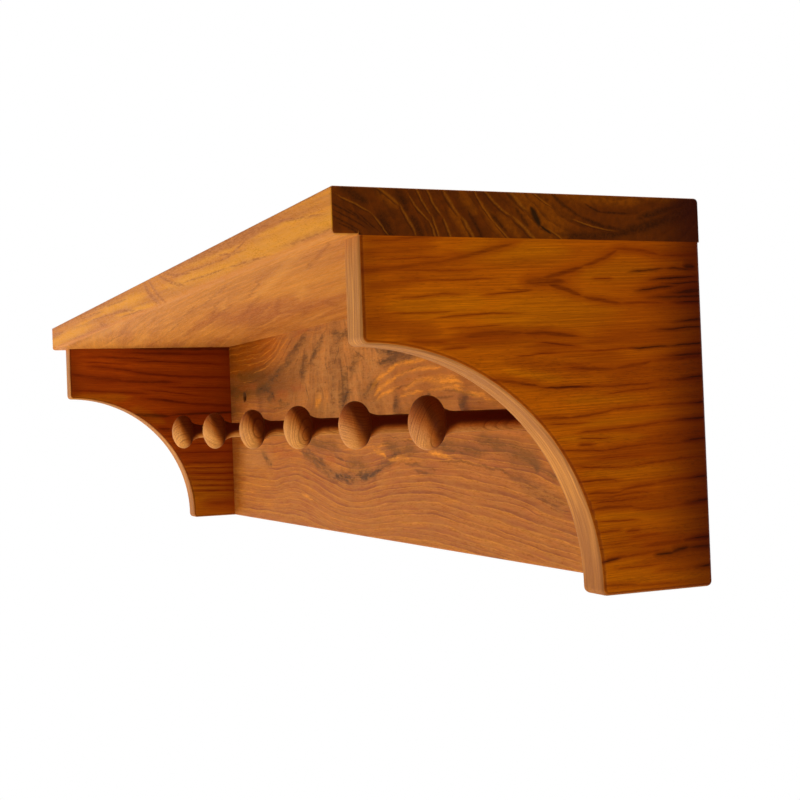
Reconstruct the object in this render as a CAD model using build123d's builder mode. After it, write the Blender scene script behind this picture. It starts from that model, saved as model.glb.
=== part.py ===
"""Shaker peg rail with a shelf: a teak wall shelf on two coved brackets, over a row of turned pegs.

X runs along the rail, the room is on the -Y side, +Z is up. The origin is on the wall plane,
half way between the two wall screws. Millimetres.
"""
from build123d import *
from math import acos, asin, cos, degrees, pi, sin, sqrt
import os

os.makedirs("parts", exist_ok=True)

# ------------------------------------------------------------------ driving dimensions
RAIL_LENGTH = 713.0          # over the shelf's ends, which are flush with the brackets
SHELF_DEPTH = 173.5
SHELF_THICK = 19.5
SHELF_OVERHANG = 11.0        # shelf's front edge past the brackets' noses
BRACKET_HEIGHT = 152.4
BRACKET_THICK = 18.0
COVE_RADIUS = 106.0          # concave quarter round of the bracket
FOOT_FLAT = 3.0              # upright stretch between the cove and the foot
BACK_THICK = 19.0
WALL_SCREW_DROP = 47.0       # screws below the underside of the shelf
WALL_SCREW_SPACING = 588.0
PEG_COUNT = 6
PEG_SPACING = 98.8
PEG_DROP = 75.5              # peg axes below the underside of the shelf
PEG_REACH = 76.5             # from the face of the back board to the tip of the head

# ------------------------------------------------------------------ edges
ROUND_OVER = 2.5             # routed edges: brackets, and underneath the shelf's front
CORNER_ROUND = 3.0           # corners of the bracket's outline
TOP_BACK_ROUND = 2.0         # shelf's top edge along the wall
EASED_EDGE = 1.0             # edges softened with sandpaper
BACK_EDGE_ROUND = 1.5        # bottom edges of the back board

# ------------------------------------------------------------------ turned peg
HEAD_RADIUS = 13.6
DOME_RADIUS = 18.0           # front of the head
RIM_RADIUS = 6.5             # rounds the dome over into the back of the head
NECK_RADIUS = 8.4            # where the back of the head meets the hollow of the neck
NECK_HOLLOW = 15.0           # radius of that hollow
SHAFT_RADIUS = 5.4
TENON_RADIUS = 4.75
TENON_LENGTH = 14.0
TENON_CHAMFER = 0.8

# ------------------------------------------------------------------ hidden joinery
DOWEL_RADIUS = 4.0
DOWEL_LENGTH = 30.0
DOWEL_CHAMFER = 0.8
GLUE_GAP = 0.05              # all round a dowel or tenon
END_GAP = 0.5                # air at the bottom of a blind hole
DOWEL_IN_SHELF = 12.0        # the rest of the dowel is in the piece below
DOWEL_IN_BRACKET = 11.0      # for the dowels that lie along X
SHELF_DOWEL_Y = (-36.0, -86.0, -138.0)
BACK_DOWEL_DROPS = (34.0, 112.0)
BACK_TOP_DOWEL_SPACING = 176.0
BACK_TOP_DOWEL_COUNT = 4

# ------------------------------------------------------------------ wall screw holes
SCREW_HOLE_RADIUS = 2.6
SCREW_SINK_RADIUS = 4.4
SCREW_SINK_ANGLE = 82

# ------------------------------------------------------------------ worked out from the above
HALF_LENGTH = RAIL_LENGTH / 2
SHELF_UNDER = WALL_SCREW_DROP                        # z of the shelf's underside
FOOT_Z = SHELF_UNDER - BRACKET_HEIGHT
NOSE_Y = SHELF_OVERHANG - SHELF_DEPTH
COVE_CENTRE = (NOSE_Y, FOOT_Z + FOOT_FLAT)
INNER_FACE = HALF_LENGTH - BRACKET_THICK             # x of a bracket's inner face
BRACKET_MID = HALF_LENGTH - BRACKET_THICK / 2
BACK_FACE_Y = -BACK_THICK
BACK_MID_Y = -BACK_THICK / 2
PEG_Z = SHELF_UNDER - PEG_DROP
FIRST_PEG_X = -PEG_SPACING * (PEG_COUNT - 1) / 2
DOWEL_HOLE_RADIUS = DOWEL_RADIUS + GLUE_GAP
DOWEL_BELOW_SHELF = DOWEL_LENGTH - DOWEL_IN_SHELF
DOWEL_IN_BACK = DOWEL_LENGTH - DOWEL_IN_BRACKET
SIDES = {"left": -1, "right": 1}

FIRST_TOP_DOWEL_X = -BACK_TOP_DOWEL_SPACING * (BACK_TOP_DOWEL_COUNT - 1) / 2
BACK_TOP_DOWEL_X = [FIRST_TOP_DOWEL_X + BACK_TOP_DOWEL_SPACING * i for i in range(BACK_TOP_DOWEL_COUNT)]
SHELF_DOWELS = [(BRACKET_MID, y, SHELF_UNDER) for y in SHELF_DOWEL_Y]
BACK_TOP_DOWELS = [(x, BACK_MID_Y, SHELF_UNDER) for x in BACK_TOP_DOWEL_X]
BACK_END_DOWELS = [(INNER_FACE, BACK_MID_Y, SHELF_UNDER - drop) for drop in BACK_DOWEL_DROPS]
PEGS = [(FIRST_PEG_X + PEG_SPACING * i, BACK_FACE_Y, PEG_Z) for i in range(PEG_COUNT)]


def on_side(points, side):
    """The points of the right side, or their mirror images on the left."""
    return [(side * x, y, z) for x, y, z in points]


def seats(points, outward):
    """Planes at the points with their normals pointing out of the wood, as a drill stands."""
    return [Plane(origin=point, z_dir=outward) for point in points]


def save(piece, name):
    piece.label = name
    export_step(piece, f"parts/{name}.step")


# ------------------------------------------------------------------ boards
def round_over_waste(across, up, towards):
    """In a sketch: what a round-over bit takes off a lower corner whose wood lies on one side of it."""
    with Locations((across, up)):
        Rectangle(2 * ROUND_OVER, 2 * ROUND_OVER)
    with Locations((across + towards * ROUND_OVER, up + ROUND_OVER)):
        Circle(ROUND_OVER, mode=Mode.SUBTRACT)


def make_shelf_board():
    with BuildPart() as shelf_board:
        with BuildSketch(Plane.XY.offset(SHELF_UNDER)):
            with Locations((0, -SHELF_DEPTH / 2)):
                Rectangle(RAIL_LENGTH, SHELF_DEPTH)
        extrude(amount=SHELF_THICK)

        top = shelf_board.faces().sort_by(Axis.Z)[-1]
        back_top = top.edges().sort_by(Axis.Y)[-1]
        front_ends = shelf_board.edges().filter_by(Axis.Z).group_by(Axis.Y)[0]
        fillet(back_top, radius=TOP_BACK_ROUND)
        top = shelf_board.faces().sort_by(Axis.Z)[-1]
        top_and_ends = top.edges() - top.edges().sort_by(Axis.Y)[-1:] + front_ends
        fillet(top_and_ends, radius=EASED_EDGE)

        # underneath, the front edge is rounded all along, and the ends as far back as the brackets
        with BuildSketch(Plane.YZ.offset(-HALF_LENGTH)):
            round_over_waste(-SHELF_DEPTH, SHELF_UNDER, towards=1)
        extrude(amount=RAIL_LENGTH, mode=Mode.SUBTRACT)
        with BuildSketch(Plane.XZ.offset(-NOSE_Y)):
            for side in SIDES.values():
                round_over_waste(side * HALF_LENGTH, SHELF_UNDER, towards=-side)
        extrude(amount=SHELF_OVERHANG, mode=Mode.SUBTRACT)

        for side in SIDES.values():
            with Locations(*seats(on_side(SHELF_DOWELS, side), (0, 0, -1))):
                Hole(radius=DOWEL_HOLE_RADIUS, depth=DOWEL_IN_SHELF + END_GAP)
        with Locations(*seats(BACK_TOP_DOWELS, (0, 0, -1))):
            Hole(radius=DOWEL_HOLE_RADIUS, depth=DOWEL_IN_SHELF + END_GAP)
    return shelf_board.part


def make_back_board():
    with BuildPart() as back_board:
        with BuildSketch(Plane.XY.offset(FOOT_Z)):
            with Locations((0, BACK_MID_Y)):
                Rectangle(2 * INNER_FACE, BACK_THICK)
        extrude(amount=BRACKET_HEIGHT)
        fillet(back_board.edges().filter_by(Axis.X).group_by(Axis.Z)[0], radius=BACK_EDGE_ROUND)

        with Locations(*seats(PEGS, (0, -1, 0))):
            Hole(radius=TENON_RADIUS + GLUE_GAP, depth=TENON_LENGTH + END_GAP)
        with Locations(*seats(BACK_TOP_DOWELS, (0, 0, 1))):
            Hole(radius=DOWEL_HOLE_RADIUS, depth=DOWEL_BELOW_SHELF + END_GAP)
        for side in SIDES.values():
            with Locations(*seats(on_side(BACK_END_DOWELS, side), (side, 0, 0))):
                Hole(radius=DOWEL_HOLE_RADIUS, depth=DOWEL_IN_BACK + END_GAP)
            with Locations(*seats([(side * WALL_SCREW_SPACING / 2, BACK_FACE_Y, 0)], (0, -1, 0))):
                CounterSinkHole(
                    radius=SCREW_HOLE_RADIUS,
                    counter_sink_radius=SCREW_SINK_RADIUS,
                    counter_sink_angle=SCREW_SINK_ANGLE,
                )
    return back_board.part


def make_bracket(side):
    with BuildPart() as bracket:
        with BuildSketch(Plane.YZ.offset(side * BRACKET_MID)) as outline:
            with BuildLine():
                nose = Polyline((0, FOOT_Z), (0, SHELF_UNDER), (NOSE_Y, SHELF_UNDER),
                                (NOSE_Y, FOOT_Z + FOOT_FLAT + COVE_RADIUS))
                cove = CenterArc(COVE_CENTRE, COVE_RADIUS, 90, -90)
                Polyline(cove @ 1, (NOSE_Y + COVE_RADIUS, FOOT_Z), nose @ 0)
            make_face()
            nose_corner = outline.vertices().group_by(Axis.X)[0].sort_by(Axis.Y)[0]
            foot_corner = outline.vertices().group_by(Axis.Y)[0].sort_by(Axis.X)[0]
            fillet([nose_corner, foot_corner], radius=CORNER_ROUND)
        extrude(amount=BRACKET_THICK / 2, both=True)

        # all is rounded over but the top, which carries the shelf, and the inner edge along the wall
        at_wall = bracket.faces().sort_by(Axis.Y)[-1]
        rim = bracket.edges() - bracket.faces().sort_by(Axis.Z)[-1].edges()
        left_rim, *_, right_rim = rim.group_by(Axis.X)
        outer, inner = (left_rim, right_rim) if side < 0 else (right_rim, left_rim)
        heel = at_wall.edges().sort_by(Axis.Z)[:1]
        fillet(outer + (inner - at_wall.edges()) + heel, radius=ROUND_OVER)

        with Locations(*seats(on_side(SHELF_DOWELS, side), (0, 0, 1))):
            Hole(radius=DOWEL_HOLE_RADIUS, depth=DOWEL_BELOW_SHELF + END_GAP)
        with Locations(*seats(on_side(BACK_END_DOWELS, side), (-side, 0, 0))):
            Hole(radius=DOWEL_HOLE_RADIUS, depth=DOWEL_IN_BRACKET + END_GAP)
    return bracket.part


# ------------------------------------------------------------------ pegs
def make_peg(seat):
    """A turned peg on the X axis of its own sketch plane, which leads from the board into the room."""
    dome_centre = PEG_REACH - DOME_RADIUS
    rim_height = HEAD_RADIUS - RIM_RADIUS
    join_angle = asin(rim_height / (DOME_RADIUS - RIM_RADIUS))
    rim_centre = dome_centre + (DOME_RADIUS - RIM_RADIUS) * cos(join_angle)
    neck_angle = pi - asin((NECK_RADIUS - rim_height) / RIM_RADIUS)
    neck_x = rim_centre + RIM_RADIUS * cos(neck_angle)
    hollow_angle = acos(1 - (NECK_RADIUS - SHAFT_RADIUS) / NECK_HOLLOW)
    hollow_x = neck_x - NECK_HOLLOW * sin(hollow_angle)

    with BuildPart() as peg:
        with BuildSketch(Plane(origin=seat, x_dir=(0, -1, 0), z_dir=(-1, 0, 0))):
            with BuildLine():
                dome = CenterArc((dome_centre, 0), DOME_RADIUS, 0, degrees(join_angle))
                rim = CenterArc((rim_centre, rim_height), RIM_RADIUS, degrees(join_angle),
                                degrees(neck_angle - join_angle))
                hollow = CenterArc((hollow_x, SHAFT_RADIUS + NECK_HOLLOW), NECK_HOLLOW,
                                   -90, degrees(hollow_angle))
                Polyline(hollow @ 0, (0, SHAFT_RADIUS), (0, TENON_RADIUS),
                         (TENON_CHAMFER - TENON_LENGTH, TENON_RADIUS),
                         (-TENON_LENGTH, TENON_RADIUS - TENON_CHAMFER), (-TENON_LENGTH, 0), dome @ 0)
            make_face()
        revolve(axis=Axis(seat, (0, -1, 0)))
    return peg.part


# ------------------------------------------------------------------ dowels
def make_dowels(points, along, inset):
    """Dowels through the points, lying along a direction, with inset of their length ahead of the point."""
    direction = Vector(*along)
    with BuildPart() as dowels:
        for point in points:
            tail = Vector(*point) - direction * (DOWEL_LENGTH - inset)
            with BuildSketch(Plane(origin=tail, z_dir=along)):
                Circle(DOWEL_RADIUS)
            extrude(amount=DOWEL_LENGTH)
        chamfer(dowels.edges().filter_by(GeomType.CIRCLE), length=DOWEL_CHAMFER)
    return dowels.part


save(make_shelf_board(), "shelf_board")
save(make_back_board(), "back_board")
for side_name, side in SIDES.items():
    save(make_bracket(side), f"{side_name}_bracket")
    save(make_dowels(on_side(SHELF_DOWELS, side), (0, 0, 1), DOWEL_IN_SHELF), f"shelf_dowels_{side_name}")
    save(make_dowels(on_side(BACK_END_DOWELS, side), (side, 0, 0), DOWEL_IN_BRACKET), f"back_dowels_{side_name}")
save(make_dowels(BACK_TOP_DOWELS, (0, 0, 1), DOWEL_IN_SHELF), "shelf_to_back_dowels")
for number, seat in enumerate(PEGS, start=1):
    save(make_peg(seat), f"peg_{number}")
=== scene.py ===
"""Shaker peg rail with a shelf, in oiled teak: the finish of each board and peg, the light, the camera."""
import math

import bpy
from mathutils import Matrix, Vector


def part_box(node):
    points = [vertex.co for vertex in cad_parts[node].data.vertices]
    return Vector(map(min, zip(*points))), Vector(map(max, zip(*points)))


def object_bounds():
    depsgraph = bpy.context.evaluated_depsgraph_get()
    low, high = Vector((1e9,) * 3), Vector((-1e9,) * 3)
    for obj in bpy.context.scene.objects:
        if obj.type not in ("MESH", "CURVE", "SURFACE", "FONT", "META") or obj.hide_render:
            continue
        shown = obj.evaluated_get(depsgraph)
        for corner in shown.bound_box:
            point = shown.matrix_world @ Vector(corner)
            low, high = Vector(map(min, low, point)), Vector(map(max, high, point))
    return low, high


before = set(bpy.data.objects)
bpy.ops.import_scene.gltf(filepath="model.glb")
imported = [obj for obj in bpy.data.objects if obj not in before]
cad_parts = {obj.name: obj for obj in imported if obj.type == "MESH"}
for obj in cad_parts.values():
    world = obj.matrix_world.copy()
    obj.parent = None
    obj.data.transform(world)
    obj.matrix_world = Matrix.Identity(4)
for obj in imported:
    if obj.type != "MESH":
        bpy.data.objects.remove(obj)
cad_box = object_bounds()

TO_MM = 1000.0                       # object coordinates are metres, the grain is laid out in millimetres
PEGS = [f"peg_{number}" for number in range(1, 7)]      # from the left
DOWELS = ["shelf_dowels_left", "shelf_dowels_right", "back_dowels_left", "back_dowels_right",
          "shelf_to_back_dowels"]

# the boards' own measures, in millimetres
RIGHT_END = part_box("shelf_board")[1][0] * TO_MM
SHELF_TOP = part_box("shelf_board")[1][2] * TO_MM
SHELF_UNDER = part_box("shelf_board")[0][2] * TO_MM
BACK_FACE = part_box("back_board")[0][1] * TO_MM
SCREW_HOLES = ((-294.0, 0.0), (294.0, 0.0))             # across and up
X, Y, Z = 0, 1, 2                    # parts of a vector


# ------------------------------------------------------------------ wiring of shader nodes
class Wires:
    """Adds nodes to one tree. Wherever a value is asked for, another node's output does as well."""

    def __init__(self, tree):
        self.tree = tree

    def feed(self, socket, value):
        if isinstance(value, bpy.types.NodeSocket):
            self.tree.links.new(value, socket)
        else:
            socket.default_value = value

    def node(self, kind, inputs=None, **settings):
        made = self.tree.nodes.new(kind)
        for name, value in settings.items():
            setattr(made, name, value)
        for key, value in (inputs or {}).items():
            self.feed(made.inputs[key], value)
        return made

    def math(self, operation, *values):
        return self.node("ShaderNodeMath", dict(enumerate(values)), operation=operation).outputs[0]

    def vector(self, operation, *values):
        made = self.node("ShaderNodeVectorMath", dict(enumerate(values)), operation=operation)
        return made.outputs["Vector"]

    def scaled(self, position, factor):
        made = self.node("ShaderNodeVectorMath", {0: position, "Scale": factor}, operation="SCALE")
        return made.outputs["Vector"]

    def length(self, position):
        return self.node("ShaderNodeVectorMath", {0: position}, operation="LENGTH").outputs["Value"]

    def dot(self, first, second):
        made = self.node("ShaderNodeVectorMath", {0: first, 1: second}, operation="DOT_PRODUCT")
        return made.outputs["Value"]

    def part(self, position, axis):
        unit = tuple(1.0 if number == axis else 0.0 for number in (X, Y, Z))
        return self.dot(position, unit)

    def rise(self, value, low, high, start=0.0, end=1.0):
        """A soft step from start to end as the value goes from low to high."""
        inputs = {"Value": value, "From Min": low, "From Max": high, "To Min": start, "To Max": end}
        made = self.node("ShaderNodeMapRange", inputs, interpolation_type="SMOOTHSTEP")
        return made.outputs["Result"]

    def mix(self, factor, first, second):
        """Two colours mixed. The node's sockets for colours stand after those for numbers and vectors."""
        share, one, other, mixed = 0, 6, 7, 2
        made = self.node("ShaderNodeMix", {share: factor, one: first, other: second}, data_type="RGBA")
        return made.outputs[mixed]

    def noise(self, position, detail=2.0, roughness=0.5):
        inputs = {"Vector": position, "Scale": 1.0, "Detail": detail, "Roughness": roughness}
        return self.node("ShaderNodeTexNoise", inputs).outputs

    def stretched(self, position, along, across):
        """The position in units of along mm down the grain and across mm over it."""
        steps = self.node("ShaderNodeCombineXYZ", {0: along, 1: across, 2: across}).outputs[0]
        return self.vector("DIVIDE", position, steps)

    def seeded(self, position, seed):
        """The position in another stretch of wood, so that no two boards are alike."""
        next_board = (431.0, 173.0, 259.0)
        return self.vector("ADD", position, self.scaled(next_board, seed))

    def stray(self, position, amount):
        """A chance way and distance at each position, up to half the amount along each axis."""
        middle = (0.5, 0.5, 0.5)
        return self.scaled(self.vector("SUBTRACT", self.noise(position)["Color"], middle), amount)

    def wavered(self, position, size, amount):
        """The position with a small wander of its own, in waves of a size."""
        return self.vector("ADD", position, self.stray(self.scaled(position, 1.0 / size), amount))

    def reached(self, given):
        """How far a group's position lies from its centre, along each axis in reaches."""
        away = self.vector("SUBTRACT", given["Position"], given["Centre"])
        return self.vector("DIVIDE", away, given["Reach"])

    def use(self, group, **inputs):
        made = self.node("ShaderNodeGroup", node_tree=group)
        for key, value in inputs.items():
            self.feed(made.inputs[key.replace("_", " ").capitalize()], value)
        return made.outputs


def new_group(name, inputs, outputs):
    """An empty node group: its tree, its wires, its inputs and the sockets that take its outputs."""
    group = bpy.data.node_groups.new(name, "ShaderNodeTree")
    for label, kind in inputs.items():
        group.interface.new_socket(label, in_out="INPUT", socket_type="NodeSocket" + kind)
    for label, kind in outputs.items():
        group.interface.new_socket(label, in_out="OUTPUT", socket_type="NodeSocket" + kind)
    wires = Wires(group)
    return group, wires, wires.node("NodeGroupInput").outputs, wires.node("NodeGroupOutput").inputs


# ------------------------------------------------------------------ what the wood is made of
def growth_rings_group():
    """Rings round a pith on the X axis. Late: the dark line that ends a year, strong and faint by turns.
    Early: the thin start of a year. Ramp: how far the year has come. Tone: a chance value for each year."""
    inputs = {"Position": "Vector", "Ring width": "Float", "Wander": "Float", "Wander length": "Float",
              "Ripple": "Float", "Ripple length": "Float", "Ripple width": "Float", "Seed": "Float"}
    outputs = {"Late": "Float", "Early": "Float", "Ramp": "Float", "Tone": "Float"}
    group, wires, given, out = new_group("growth rings", inputs, outputs)
    place = wires.seeded(given["Position"], given["Seed"])
    third = wires.math("DIVIDE", given["Wander length"], 3.0)
    drift = wires.stretched(place, given["Wander length"], third)
    drift = wires.stray(drift, wires.math("MULTIPLY", given["Wander"], 2.0))
    across = wires.vector("MULTIPLY", wires.vector("ADD", given["Position"], drift), (0.0, 1.0, 1.0))
    ripples = wires.stretched(place, given["Ripple length"], given["Ripple width"])
    ripples = wires.math("SUBTRACT", wires.noise(ripples, detail=3.0)[0], 0.5)
    ripples = wires.math("MULTIPLY", ripples, given["Ripple"])
    radius = wires.math("ADD", wires.length(across), ripples)
    years = wires.math("DIVIDE", radius, given["Ring width"])
    change, most_change = 0.45, 1.8      # how fast the years' widths change, and by how many years at most
    walk = wires.math("ADD", wires.math("MULTIPLY", years, change), given["Seed"])
    unlike = {"W": walk, "Scale": 1.0, "Detail": 1.0}
    unlike = wires.node("ShaderNodeTexNoise", unlike, noise_dimensions="1D").outputs[0]
    years = wires.math("ADD", years, wires.math("MULTIPLY", unlike, most_change))
    season = wires.math("FRACT", years)
    number = wires.math("ADD", wires.math("FLOOR", years), given["Seed"])
    tone = wires.node("ShaderNodeTexWhiteNoise", {"W": number}, noise_dimensions="1D").outputs["Value"]
    other_place, gap_height = 3.0, 9.0   # of the gaps where a line fades
    faint = wires.stretched(wires.seeded(place, other_place), given["Ripple length"], gap_height)
    faint = wires.noise(faint)[0]
    least_down_grain, least_by_year = 0.15, 0.45
    strength = wires.math("MULTIPLY", wires.rise(faint, 0.30, 0.62, least_down_grain, 1.0),
                          wires.rise(tone, 0.0, 0.7, least_by_year, 1.0))
    darkens, darkest, lets_go, spring = 0.45, 0.88, 0.92, 0.22
    late = wires.math("MULTIPLY", wires.rise(season, darkens, darkest),
                      wires.rise(season, lets_go, 1.0, 1.0, 0.0))
    wires.feed(out["Late"], wires.math("MULTIPLY", late, strength))
    wires.feed(out["Early"], wires.rise(season, 0.0, spring, 1.0, 0.0))
    wires.feed(out["Ramp"], season)
    wires.feed(out["Tone"], tone)
    return group


def fibres_group():
    """Streaks down the grain: broad soft bands, and the fine fibre between them."""
    inputs = {"Position": "Vector", "Length": "Float", "Width": "Float", "Seed": "Float"}
    group, wires, given, out = new_group("fibres", inputs, {"Band": "Float", "Fine": "Float"})
    finer, pale, dark = 0.3, 0.34, 0.66
    place = wires.seeded(given["Position"], given["Seed"])
    band = wires.stretched(place, given["Length"], given["Width"])
    band = wires.noise(band, detail=4.0, roughness=0.62)[0]
    thin = wires.math("MULTIPLY", given["Width"], finer)
    short = wires.math("MULTIPLY", given["Length"], finer)
    fine = wires.noise(wires.stretched(place, short, thin), detail=3.0, roughness=0.7)[0]
    wires.feed(out["Band"], wires.rise(band, pale, dark))
    wires.feed(out["Fine"], wires.rise(fine, pale, dark))
    return group


def open_pores_group():
    """The short dark dashes of cut vessels, most of them in the early wood."""
    inputs = {"Position": "Vector", "Length": "Float", "Width": "Float", "Ramp": "Float", "Seed": "Float"}
    group, wires, given, out = new_group("open pores", inputs, {"Pore": "Float"})
    often, seldom, soft_rim = 0.57, 0.67, 0.07
    dash = wires.stretched(wires.seeded(given["Position"], given["Seed"]), given["Length"], given["Width"])
    dash = wires.noise(dash, detail=1.0, roughness=0.4)[0]
    least = wires.rise(given["Ramp"], 0.1, 0.8, often, seldom)
    wires.feed(out["Pore"], wires.rise(wires.math("SUBTRACT", dash, least), 0.0, soft_rim))
    return group


def stroke_group():
    """One line of the figure, as listed; it tapers to nothing at both ends. The place in the face comes
    as (across, up, 1); its products with Forward and Aside are how far it lies from the line's middle, in
    half lengths and half widths. Bow is how far the middle stands aside, in half widths. Depth: one on the
    line, none at its edge and less outside it. Beside: the same for the ground on its right."""
    inputs = {"Place": "Vector", "Forward": "Vector", "Aside": "Vector", "Bow": "Float"}
    group, wires, given, out = new_group("stroke", inputs, {"Depth": "Float", "Beside": "Float"})
    along = wires.dot(given["Place"], given["Forward"])
    along = wires.math("MULTIPLY", along, along)
    curve = wires.math("MULTIPLY", given["Bow"], wires.math("SUBTRACT", 1.0, along))
    belly = wires.math("SUBTRACT", 1.0, wires.math("MULTIPLY", along, along))
    aside = wires.math("SUBTRACT", wires.dot(given["Place"], given["Aside"]), curve)
    wires.feed(out["Depth"], wires.math("SUBTRACT", belly, wires.math("ABSOLUTE", aside)))
    to_the_right = 1.5
    beside = wires.math("ABSOLUTE", wires.math("ADD", aside, to_the_right))
    wires.feed(out["Beside"], wires.math("SUBTRACT", belly, beside))
    return group


def pushed_grain_group():
    """Grain pushed aside round a place, as by a knot or a fork in the tree."""
    inputs = {"Position": "Vector", "Centre": "Vector", "Reach": "Vector", "Push": "Vector"}
    group, wires, given, out = new_group("pushed grain", inputs, {"Position": "Vector"})
    distance = wires.length(wires.reached(given))
    weight = wires.math("EXPONENT", wires.math("MULTIPLY", wires.math("MULTIPLY", distance, distance), -1.0))
    moved = wires.vector("SUBTRACT", given["Position"], wires.scaled(given["Push"], weight))
    wires.feed(out["Position"], moved)
    return group


def fanned_grain_group():
    """Grain that fans out from a place: how far off a point lies, and how far round, at the reach."""
    inputs = {"Position": "Vector", "Centre": "Vector", "Reach": "Float"}
    group, wires, given, out = new_group("fanned grain", inputs, {"Position": "Vector"})
    away = wires.vector("SUBTRACT", given["Position"], given["Centre"])
    distance = wires.length(wires.vector("MULTIPLY", away, (1.0, 0.0, 1.0)))
    below = wires.math("MULTIPLY", wires.part(away, Z), -1.0)
    turned = wires.math("MULTIPLY", wires.math("ARCTAN2", wires.part(away, X), below), given["Reach"])
    place = wires.node("ShaderNodeCombineXYZ", {0: distance, 1: turned, 2: wires.part(away, Y)})
    wires.feed(out["Position"], place.outputs[0])
    return group


def soft_patch_group():
    """A patch with a ragged edge: one inside a place's reach, none outside it."""
    inputs = {"Position": "Vector", "Centre": "Vector", "Reach": "Vector", "Ragged": "Float",
              "Grain": "Float"}
    group, wires, given, out = new_group("soft patch", inputs, {"Patch": "Float"})
    inside, outside = 0.3, 1.15
    grain = wires.math("DIVIDE", 1.0, given["Grain"])
    rag = wires.noise(wires.scaled(given["Position"], grain), detail=3.0)[0]
    rag = wires.math("MULTIPLY", wires.math("SUBTRACT", rag, 0.5), given["Ragged"])
    distance = wires.math("ADD", wires.length(wires.reached(given)), rag)
    wires.feed(out["Patch"], wires.rise(distance, inside, outside, 1.0, 0.0))
    return group


def facing_group():
    """How squarely the surface faces sideways, and up or down, in the part's own frame; the rim where a side
    face starts to round over; the rounded edges that run along the shelf; and how far the surface is turned
    up and to the wall, from minus one to one."""
    outputs = {"Sideways": "Float", "Up and down": "Float", "Rim": "Float", "Long edge": "Float",
               "Upper side": "Float"}
    group, wires, given, out = new_group("facing", {"Normal": "Vector"}, outputs)
    aslant, square = 0.6, 0.78
    up_to_the_wall = (0.15, 0.66, 0.74)
    turned = wires.vector("ABSOLUTE", given["Normal"])
    sideways, wallwards, upwards = (wires.part(turned, axis) for axis in (X, Y, Z))
    wires.feed(out["Sideways"], wires.rise(sideways, aslant, square))
    wires.feed(out["Up and down"], wires.rise(upwards, aslant, square))
    rim = wires.math("MULTIPLY", wires.rise(sideways, 0.66, square), wires.rise(sideways, 0.999, 0.9))
    wires.feed(out["Rim"], rim)
    wires.feed(out["Long edge"], wires.rise(wires.math("MULTIPLY", wallwards, upwards), 0.05, 0.4))
    wires.feed(out["Upper side"], wires.dot(given["Normal"], up_to_the_wall))
    return group


GROWTH_RINGS = growth_rings_group()
FIBRES = fibres_group()
OPEN_PORES = open_pores_group()
STROKE = stroke_group()
PUSHED_GRAIN = pushed_grain_group()
FANNED_GRAIN = fanned_grain_group()
SOFT_PATCH = soft_patch_group()
FACING = facing_group()


def rgb(red, green, blue):
    """A colour as it looks on a screen, 0 to 255, turned by a screen's usual curve into linear light."""
    brightest = 255
    shown = [part / brightest for part in (red, green, blue)]
    linear = [part / 12.92 if part <= 0.04045 else ((part + 0.055) / 1.055) ** 2.4 for part in shown]
    return (*linear, 1.0)


def measure(direction, middle, unit):
    """What a place (across, up, 1) is multiplied with to tell how far off a middle it lies one way."""
    across, up = direction
    return across / unit, up / unit, -(across * middle[X] + up * middle[Y]) / unit


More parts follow.
